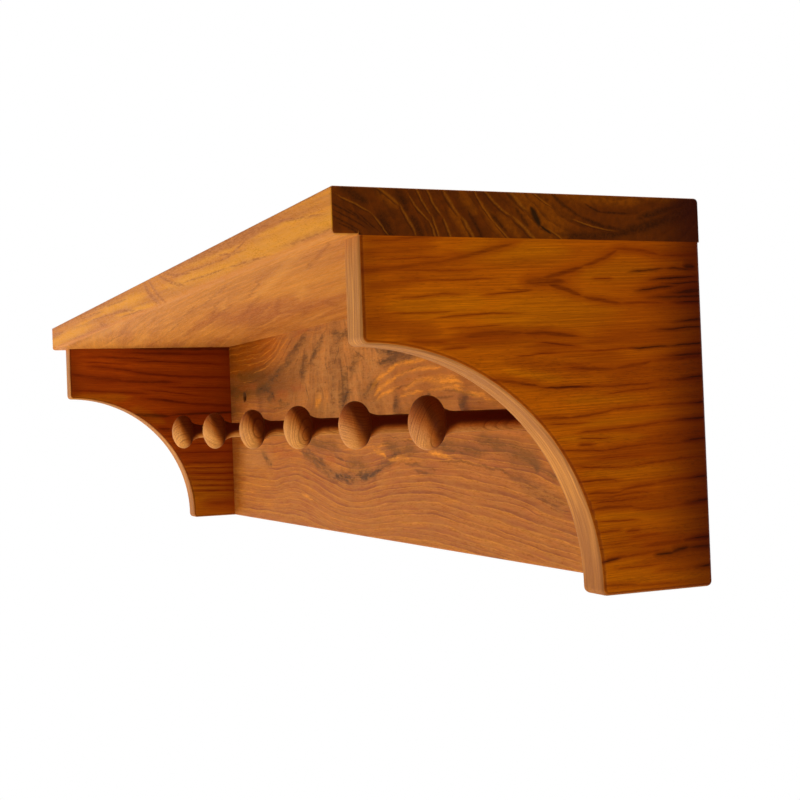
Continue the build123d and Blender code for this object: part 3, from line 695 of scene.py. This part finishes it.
def shelf_under(wood, log):
    """Browner towards the wall, with pink clouds and long streaks across its length."""
    band, fine = wood.fibres(log, length=75.0, width=2.2, seed=3.0)
    mottle = wood.blots(log, length=34.0, width=7.0, seed=4.0, low=0.46, high=0.66)
    skin = 6.0
    below = wood.along(Z, SHELF_TOP - skin, SHELF_UNDER + skin)
    above = wood.along(Z, SHELF_UNDER + skin, SHELF_TOP - skin)
    rear = wood.both(below, wood.along(Y, -125.0, -40.0))
    pink = wood.clouds(length=260.0, width=13.0, seed=9.0, log=log)
    golden = wood.clouds(length=280.0, width=9.0, seed=8.0, log=log)
    rosy = wood.patch(centre=(10.0, -98.0, 47.0), reach=(150.0, 40.0, 60.0), ragged=0.5, grain=30.0)
    honey = wood.patch(centre=(170.0, -125.0, 47.0), reach=(100.0, 50.0, 60.0), ragged=0.5, grain=30.0)
    dark = wood.both(below, wood.brushed(wood.strokes((X, Y), SHELF_UNDER_DARK, waver=6.0)))
    pale = wood.both(below, wood.brushed(wood.strokes((X, Y), SHELF_UNDER_PALE, waver=6.0)))
    return wood.layers(
        rgb(222, 142, 56),
        (wood.tone, 0.15, rgb(200, 120, 46)),
        (rear, 0.75, rgb(172, 94, 30)),
        (pink, 0.6, rgb(172, 96, 48)),
        (golden, 0.4, rgb(236, 158, 62)),
        (wood.both(below, rosy), 0.5, rgb(170, 90, 52)),
        (wood.both(below, honey), 0.35, rgb(228, 148, 56)),
        (mottle, 0.3, rgb(232, 156, 70)),
        (band, 0.3, rgb(156, 88, 42)),
        (fine, 0.25, rgb(146, 84, 42)),
        (wood.both(above, wood.late), 0.4, rgb(146, 84, 36)),
        (wood.broken(pale), 0.45, rgb(232, 158, 72)),
        (wood.broken(dark), 0.5, rgb(148, 78, 38)),
        (wood.pore, 0.1, rgb(120, 60, 26)))


def shelf_ends(wood):
    """Steep rings, pale at the start of a year, round a heart above the rear corner."""
    middle = wood.patch(centre=(RIGHT_END, -76.0, 57.0), reach=(30.0, 22.0, 16.0), ragged=0.6, grain=8.0)
    shade = wood.clouds(length=60.0, width=3.0, seed=9.0)
    pale = wood.strokes((Y, Z), SHELF_END_PALE, waver=2.2)
    beside = wood.inked(wood.strokes((Y, Z), SHELF_END_PALE, waver=2.2, part="Beside"))
    dark = wood.brushed(wood.strokes((Y, Z), SHELF_END_DARK))
    amber = wood.brushed(wood.strokes((Y, Z), SHELF_END_AMBER, waver=3.0))
    knot = wood.inked(wood.strokes((Y, Z), SHELF_END_KNOT))
    return wood.layers(
        rgb(128, 56, 2),
        (wood.tone, 0.35, rgb(110, 50, 4)),
        (middle, 0.5, rgb(156, 74, 3)),
        (amber, 0.7, rgb(176, 88, 4)),
        (wood.ramp, 0.3, rgb(92, 36, 3)),
        (wood.both(wood.late, wood.band), 0.5, rgb(62, 24, 3)),
        (shade, 0.4, rgb(76, 34, 3)),
        (beside, 0.6, rgb(64, 26, 3)),
        (wood.broken(dark), 0.7, rgb(46, 20, 2)),
        (wood.broken(wood.brushed(pale)), 0.4, rgb(164, 88, 8)),
        (wood.broken(wood.inked(pale)), 0.3, rgb(196, 112, 24)),
        # painted shade at the back of each end, towards the wall
        (wood.along(Y, -34.0, 1.0), 0.85, rgb(54, 8, 1)),
        (knot, 0.9, rgb(30, 18, 3)))


def back_teak():
    """From under a fork in the tree: wavy rings low down, and above them a grey-brown figure that hangs
    in folds from the top edge."""
    wood = Wood("back board teak", seed=4.1)
    wood.push(centre=(-35.0, BACK_FACE, -78.0), reach=(75.0, 80.0, 42.0), push=(0.0, 0.0, -11.0))
    wood.push(centre=(-155.0, BACK_FACE, -72.0), reach=(48.0, 80.0, 42.0), push=(0.0, 0.0, 5.0))
    wood.push(centre=(330.0, BACK_FACE, -80.0), reach=(150.0, 80.0, 60.0), push=(0.0, 0.0, -18.0))
    wood.lay_log(pith=(0.0, BACK_FACE + 30.0, 90.0), turn=(0.0, 0.0, 0.0))
    wood.grow(ring_width=4.2, wander=3.5, wander_length=220.0, ripple=7.0, ripple_length=55.0,
              ripple_width=14.0, streak_length=50.0, streak_width=1.6, pore_length=3.0, pore_width=0.3)
    fork = wood.patch(centre=(-20.0, BACK_FACE, 12.0), reach=(240.0, 60.0, 62.0), ragged=0.5, grain=50.0)
    rough = wood.blots(wood.log, length=14.0, width=3.0, seed=6.0, low=0.44, high=0.62)
    low_down = wood.along(Z, -52.0, -66.0)
    colour = wood.layers(back_rings(wood), (fork, 1.0, back_folds(wood, rough)))
    colour = back_figure(wood, colour, rough)
    colour = wood.layers(
        colour,
        (wood.both(rough, low_down), 0.2, rgb(204, 130, 50)),
        (wood.pore, 0.2, rgb(84, 42, 18)))
    for x, z in SCREW_HOLES:
        # painted shade: a dark patch in and round each screw hole
        hole_shade = wood.patch(centre=(x, BACK_FACE, z), reach=(6.0, 30.0, 5.0), ragged=0.2, grain=6.0)
        colour = wood.layers(colour, (hole_shade, 0.95, rgb(40, 14, 4)))
    return wood.finish(colour, roughness=0.5, specular=0.03, relief=0.06)


def back_rings(wood):
    """The quiet wood low down: thin rings, rosy at the end of a year and yellow at its start."""
    flare = wood.clouds(length=46.0, width=5.0, seed=8.0)
    right = wood.along(X, 40.0, 280.0)
    rosy = wood.clouds(length=90.0, width=9.0, seed=12.0)
    return wood.layers(
        rgb(180, 104, 40),
        (right, 0.4, rgb(208, 124, 46)),
        (rosy, 0.45, rgb(160, 84, 42)),
        (wood.tone, 0.4, rgb(158, 88, 38)),
        (flare, 0.5, rgb(200, 122, 34)),
        (wood.band, 0.35, rgb(142, 78, 36)),
        (wood.early, 0.5, rgb(214, 138, 44)),
        (wood.late, 0.7, rgb(122, 60, 32)),
        (wood.fine, 0.3, rgb(128, 70, 30)))


def back_folds(wood, rough):
    """Stirred wood, its streaks fanned out from above the top edge like a hanging cloth."""
    fan = wood.fanned(centre=(-70.0, BACK_FACE, 125.0), reach=110.0, waver=22.0)
    band, fine = wood.fibres(fan, length=60.0, width=5.0, seed=2.0)
    cloud = wood.clouds(length=110.0, width=20.0, seed=9.0, log=fan)
    ember = wood.blots(fan, length=30.0, width=8.0, seed=4.0, low=0.50, high=0.64)
    soot = wood.blots(fan, length=26.0, width=6.0, seed=1.0, low=0.52, high=0.68)
    specks = wood.blots(wood.log, length=5.0, width=1.8, seed=5.0, low=0.57, high=0.66)
    return wood.layers(
        rgb(194, 122, 54),
        (cloud, 0.7, rgb(124, 78, 38)),
        (ember, 0.4, rgb(212, 130, 44)),
        (band, 0.4, rgb(122, 76, 36)),
        (fine, 0.25, rgb(112, 68, 32)),
        (rough, 0.4, rgb(208, 142, 70)),
        (soot, 0.35, rgb(84, 52, 26)),
        (specks, 0.45, rgb(66, 40, 20)))


def back_figure(wood, colour, rough):
    """The marks that stand out: the golden corner, the grey crescent, and the flames right of the middle."""
    grain = wood.wires.rise(wood.wires.math("ADD", rough, wood.fine), 0.2, 1.4, 1.0, 0.4)
    near_face = wood.along(Y, -5.0, -14.0)

    def marks(lines, waver, softly=True):
        depth = wood.strokes((X, Z), lines, waver=waver)
        return wood.both(wood.brushed(depth) if softly else wood.inked(depth), grain, near_face)

    corner = wood.patch(centre=(-285.0, BACK_FACE, 38.0), reach=(130.0, 60.0, 34.0), ragged=0.5, grain=30.0)
    hollow = wood.patch(centre=(-240.0, BACK_FACE, 10.0), reach=(120.0, 60.0, 22.0), ragged=0.5, grain=30.0)
    flame = wood.patch(centre=(88.0, BACK_FACE, -1.0), reach=(110.0, 60.0, 22.0), ragged=0.4, grain=30.0)
    tan = wood.patch(centre=(-270.0, BACK_FACE, -52.0), reach=(60.0, 60.0, 14.0), ragged=0.8, grain=14.0)
    return wood.layers(
        colour,
        # the corner and the hollow are partly the wood's own darker colour, partly painted shade under the
        # shelf beside the left bracket
        (wood.both(near_face, corner), 0.8, rgb(150, 76, 4)),
        (wood.both(near_face, hollow), 0.7, rgb(102, 56, 15)),
        (wood.both(near_face, flame), 0.6, rgb(178, 100, 34)),
        (wood.both(near_face, rough), 0.22, rgb(116, 70, 34)),
        (marks(BACK_AMBER, 5.0), 0.8, rgb(150, 72, 3)),
        (marks(BACK_UMBER, 4.0), 0.55, rgb(104, 46, 3)),
        (wood.both(near_face, tan), 0.4, rgb(178, 120, 62)),
        (marks(BACK_OLIVE, 8.0), 0.75, rgb(100, 62, 18)),
        (marks(BACK_RED, 8.0), 0.45, rgb(160, 76, 26)),
        (marks(BACK_GREY, 9.0), 0.85, rgb(88, 56, 26)),
        (marks(BACK_ORANGE, 4.0), 0.85, rgb(226, 140, 38)),
        (marks(BACK_PALE, 3.0, softly=False), 0.6, rgb(208, 126, 36)),
        (marks(BACK_DARK, 6.0), 0.55, rgb(62, 38, 18)))


def bracket_teak(name, seed, pith, turn, figure, colours, foot):
    """Grain from the room to the wall, darkened towards the wall with painted shade, with the figure's own
    lines over it. Foot is how much lighter the lower end is."""
    base, light, shade, late, rear, dark = colours
    main, veins, bright, red = figure
    wood = Wood(name, seed)
    wood.lay_log(pith, turn)
    wood.grow(ring_width=4.6, wander=5.0, wander_length=150.0, ripple=3.0, ripple_length=60.0,
              ripple_width=12.0, streak_length=44.0, streak_width=1.3, pore_length=3.0, pore_width=0.4)
    broad = wood.clouds(length=90.0, width=11.0)
    hairs = wood.clouds(length=80.0, width=0.8, seed=11.0)
    hairs = wood.both(hairs, wood.along(Y, -150.0, -50.0, least=0.35))
    face = wood.layers(
        base,
        (broad, 0.4, shade),
        (wood.along(Z, -50.0, -86.0), foot, light),
        (wood.brushed(wood.strokes((Y, Z), bright)), 0.5, light),
        (wood.brushed(wood.strokes((Y, Z), red)), 0.55, shade),
        (wood.band, 0.24, shade),
        (hairs, 0.34, late),
        (wood.fine, 0.26, late))
    main = wood.strokes((Y, Z), main)
    veins = wood.strokes((Y, Z), veins)
    # painted shade along the front edge above the nose
    nose = wood.both(wood.along(Y, -148.0, -163.0), wood.along(Z, 0.0, 8.0))
    drawn = wood.both(wood.broken(wood.inked(main)), wood.along(Y, -140.0, -70.0, least=0.5))
    face = wood.layers(
        face,
        (wood.stained(main), 0.6, shade),
        (drawn, 0.72, late),
        # these two are painted shade, deepening towards the wall
        (wood.along(Y, -90.0, -10.0), 0.5, shade),
        (wood.along(Y, -34.0, 2.0), 0.85, rear),
        (wood.along(Z, -84.0, -100.0), foot * 0.3, base),
        (nose, 0.35, late),
        (wood.stained(veins), 0.5, rear),
        (wood.broken(wood.inked(veins)), 0.75, dark),
        (wood.pore, 0.15, dark),
        # painted shade: a dark line where each side face rounds over
        (wood.facing["Rim"], 0.6, late))
    slanting = wood.laid(pith, turn=(3.0, 0.0, turn[Z] - 4.0))
    colour = wood.layers(bracket_edges(wood, slanting), (wood.facing["Sideways"], 1.0, face))
    return wood.finish(colour, roughness=0.5, specular=0.03, relief=0.06)


def bracket_edges(wood, log):
    """The nose, the cove and the foot, where the years show as thin stripes along the edge."""
    log = wood.wires.wavered(log, 24.0, 3.5)
    broad = wood.leaves(log, length=70.0, height=60.0, width=6.0, seed=5.0)
    stripes = wood.leaves(log, length=60.0, height=44.0, width=1.6, seed=3.0)
    hairs = wood.leaves(log, length=30.0, height=24.0, width=0.55, seed=12.0)
    return wood.layers(
        rgb(214, 142, 64),
        (broad, 0.6, rgb(166, 100, 46)),
        (stripes, 0.6, rgb(144, 88, 46)),
        (hairs, 0.5, rgb(134, 78, 38)),
        (wood.fine, 0.15, rgb(140, 84, 40)),
        (wood.along(Z, -60.0, -106.0), 0.4, rgb(140, 78, 36)))


def right_bracket_teak():
    """Amber, with a pointed figure near the top and thin dark veins at the wall."""
    figure = (BRACKET_LINES, BRACKET_VEINS, BRACKET_BRIGHT, BRACKET_RED)
    amber = (rgb(252, 128, 2), rgb(255, 146, 2), rgb(172, 68, 1),
             rgb(96, 30, 1), rgb(78, 14, 1), rgb(20, 3, 1))
    return bracket_teak("right bracket teak", seed=2.3, pith=(RIGHT_END - 260.0, 0.0, 30.0),
                        turn=(0.0, -2.0, 90.0), figure=figure, colours=amber, foot=0.4)


def left_bracket_teak():
    """Russet, with long lines that sink towards the wall and a light foot."""
    figure = (LEFT_BRACKET_LINES, LEFT_BRACKET_BLOTCHES_AND_SHADE, LEFT_BRACKET_BRIGHT, ())
    russet = (rgb(196, 88, 4), rgb(216, 128, 8), rgb(132, 46, 2),
              rgb(72, 18, 1), rgb(120, 34, 2), rgb(40, 20, 3))
    return bracket_teak("left bracket teak", seed=6.1, pith=(-RIGHT_END - 70.0, 0.0, 36.0),
                        turn=(0.0, 3.0, 91.0), figure=figure, colours=russet, foot=0.95)


# of each peg: which way its pith lies and how far its grain runs out, in degrees, how wide its rings are,
# and how much more painted shade it takes
PEG_GRAINS = ((120.0, 6.0, 2.0, 0.0), (60.0, 8.0, 1.8, 0.0), (5.0, 6.0, 1.7, 0.0), (-10.0, 12.0, 1.5, 0.0),
              (80.0, 5.0, 1.3, 0.2), (-25.0, 15.0, 1.4, 0.28))


def peg_teak(name, seed, seat, lean, runout, ring_width, painted_shade_depth):
    """A peg's rings lean their own way round its axis, and run out of its grain by a few degrees. Its neck
    and the side turned up and to the wall are darkened with painted shade, and the head is left bright."""
    pith_away = 45.0
    less_lit = 0.12                      # how much less of the shaft counts as its upper side
    wood = Wood(name, seed)
    angle = math.radians(lean)
    pith = (seat[X] - pith_away * math.cos(angle), seat[Y], seat[Z] - pith_away * math.sin(angle))
    wood.lay_log(pith, turn=(0.0, 0.0, 90.0 + runout))
    wood.grow(ring_width=ring_width, wander=1.5, wander_length=60.0, ripple=0.8, ripple_length=16.0,
              ripple_width=6.0, streak_length=12.0, streak_width=0.8, pore_length=2.0, pore_width=0.25)
    shaft = wood.along(Y, -88.0, -78.0)
    turned_up = wood.wires.math("ADD", wood.facing["Upper side"], painted_shade_depth)
    turned_up = wood.wires.math("SUBTRACT", turned_up, wood.both(shaft, less_lit + painted_shade_depth))
    # painted shade by how the surface is turned from the lamps: a warm half shade, the dark upper side, the
    # darker neck
    amber = wood.wires.rise(turned_up, -0.58, -0.12)
    upper = wood.wires.rise(turned_up, -0.32, 0.24)
    neck = wood.both(shaft, wood.wires.rise(turned_up, -0.25, 0.15))
    # the lit colour, darker on the pegs that take more painted shade
    bare = rgb(234 - 60 * painted_shade_depth, 160 - 60 * painted_shade_depth, 74 - 20 * painted_shade_depth)
    # the amber, upper and neck layers below are painted shade
    colour = wood.layers(
        bare,
        (wood.tone, 0.4, rgb(196, 118, 46)),
        (amber, 0.8, rgb(172, 82, 2)),
        (wood.band, 0.4, rgb(138, 66, 12)),
        (wood.late, 0.62, rgb(84, 36, 6)),
        (wood.fine, 0.35, rgb(104, 48, 10)),
        (wood.pore, 0.15, rgb(96, 50, 24)),
        (upper, 0.8, rgb(62, 18, 1)),
        (neck, 0.9, rgb(70, 18, 1)))
    return wood.finish(colour, roughness=0.55, specular=0.05, relief=0.04)


def dowel_beech():
    """Plain and pale; the dowels are hidden in their joints."""
    wood = Wood("dowel beech", seed=9.0)
    wood.lay_log(pith=(0.0, -60.0, 10.0), turn=(0.0, 0.0, 0.0))
    wood.grow(ring_width=2.0, wander=6.0, wander_length=300.0, ripple=3.0, ripple_length=60.0,
              ripple_width=14.0, streak_length=12.0, streak_width=0.8, pore_length=1.5, pore_width=0.25)
    colour = wood.layers(
        rgb(214, 178, 134),
        (wood.band, 0.3, rgb(196, 158, 114)),
        (wood.late, 0.4, rgb(176, 136, 94)),
        (wood.fine, 0.3, rgb(180, 140, 98)),
        (wood.pore, 0.4, rgb(150, 108, 72)))
    return wood.finish(colour, roughness=0.7, specular=0.2, relief=0.05)


def dress(node, material):
    """Puts one finish on all of a CAD piece."""
    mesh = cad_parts[node].data
    mesh.materials.clear()
    mesh.materials.append(material)


def dress_all():
    """Every piece gets its own wood; the hidden dowels share one."""
    dress("shelf_board", shelf_teak())
    dress("back_board", back_teak())
    dress("right_bracket", right_bracket_teak())
    dress("left_bracket", left_bracket_teak())
    for number, (node, grain) in enumerate(zip(PEGS, PEG_GRAINS)):
        low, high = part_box(node)
        seat = [(low[axis] + high[axis]) / 2 * TO_MM for axis in (X, Y, Z)]
        seed = 1.0 + number * 0.7
        dress(node, peg_teak(node + " teak", seed, seat, *grain))
    beech = dowel_beech()
    for node in DOWELS:
        dress(node, beech)


# ------------------------------------------------------------------ the room
WHITE = (1.0, 1.0, 1.0, 1.0)


def seen_directly(wires):
    """One where the camera, a gloss or a clear body looks straight at the surroundings."""
    path = wires.node("ShaderNodeLightPath").outputs
    glossy = wires.math("MAXIMUM", path["Is Camera Ray"], path["Is Glossy Ray"])
    return wires.math("MAXIMUM", glossy, path["Is Transmission Ray"])


def hang_world():
    """A dim even sky that looks plain white."""
    sky_strength = 0.14
    world = bpy.data.worlds.new("white room")
    bpy.context.scene.world = world
    world.use_nodes = True
    world.node_tree.nodes.clear()
    wires = Wires(world.node_tree)
    strength = wires.rise(seen_directly(wires), 0.0, 1.0, sky_strength, 1.0)
    sky = wires.node("ShaderNodeBackground", {"Color": WHITE, "Strength": strength})
    out = wires.node("ShaderNodeOutputWorld")
    wires.feed(out.inputs["Surface"], sky.outputs["Background"])


def lay_floor():
    """A pale floor well below the shelf, which takes its faint shadow and fades to white further off."""
    drop, half_size = 1.6, 8.0
    near, far, near_share = 0.8, 2.2, 0.8
    pale = (0.85, 0.85, 0.85, 1.0)
    floor_z = cad_box[0][2] - drop
    mesh = bpy.data.meshes.new("floor")
    corners = [(-half_size, -half_size, floor_z), (half_size, -half_size, floor_z),
               (half_size, half_size, floor_z), (-half_size, half_size, floor_z)]
    mesh.from_pydata(corners, [], [(0, 1, 2, 3)])
    floor = bpy.data.objects.new("floor", mesh)
    bpy.context.collection.objects.link(floor)
    material = bpy.data.materials.new("pale floor")
    material.use_nodes = True
    material.node_tree.nodes.clear()
    wires = Wires(material.node_tree)
    where = wires.node("ShaderNodeTexCoord").outputs["Object"]
    across = wires.vector("MULTIPLY", where, (1.0, 1.0, 0.0))
    share = wires.rise(wires.length(across), near, far, near_share, 1.0)
    share = wires.math("MULTIPLY", seen_directly(wires), share)
    paint = wires.node("ShaderNodeBsdfDiffuse", {"Color": pale}).outputs["BSDF"]
    glow = wires.node("ShaderNodeEmission", {"Color": WHITE, "Strength": 1.0}).outputs["Emission"]
    both = wires.node("ShaderNodeMixShader", {0: share, 1: paint, 2: glow})
    out = wires.node("ShaderNodeOutputMaterial")
    wires.feed(out.inputs["Surface"], both.outputs[0])
    mesh.materials.append(material)


def hang_lamp(name, place, aim, size, watts):
    """A square soft box at a place in metres, turned towards its aim."""
    lamp = bpy.data.lights.new(name, "AREA")
    lamp.size = size
    lamp.energy = watts
    holder = bpy.data.objects.new(name, lamp)
    bpy.context.collection.objects.link(holder)
    holder.location = place
    holder.rotation_euler = (Vector(aim) - Vector(place)).to_track_quat("-Z", "Y").to_euler()


def light_room():
    """Most of the light comes from low on the left in front; each other side gets a little of its own."""
    middle = (0.0, -0.08, 0.0)
    hang_lamp("front left soft box", (-2.4, -3.0, -0.9), middle, size=1.8, watts=90.0)
    hang_lamp("low soft box", (-0.2, -1.3, -1.35), middle, size=1.2, watts=24.0)
    hang_lamp("right fill", (2.3, -0.5, -0.5), middle, size=1.2, watts=15.0)
    hang_lamp("top fill", (0.0, -0.1, 2.2), middle, size=1.2, watts=20.0)
    hang_lamp("wall side fill", (-0.4, 2.2, 0.2), middle, size=1.2, watts=15.0)


def set_camera():
    """Near the right end, level with the pegs, looking along the rail and a little towards the wall."""
    place = Vector((0.85666, -0.35973, -0.02846))
    heading, rise, roll = math.radians(66.987), math.radians(0.998), math.radians(2.154)
    level = math.cos(rise)
    direction = Vector((-math.sin(heading) * level, math.cos(heading) * level, math.sin(rise)))
    camera = bpy.data.objects.new("camera", bpy.data.cameras.new("camera"))
    bpy.context.collection.objects.link(camera)
    camera.data.sensor_width = 36.0
    camera.data.lens = 61.07
    camera.data.clip_start = 0.01
    turn = direction.to_track_quat("-Z", "Y").to_matrix() @ Matrix.Rotation(-roll, 3, "Z")
    camera.matrix_world = Matrix.Translation(place) @ turn.to_4x4()
    bpy.context.scene.camera = camera


dress_all()
hang_world()
lay_floor()
light_room()
set_camera()
bpy.context.scene.view_settings.view_transform = "Standard"
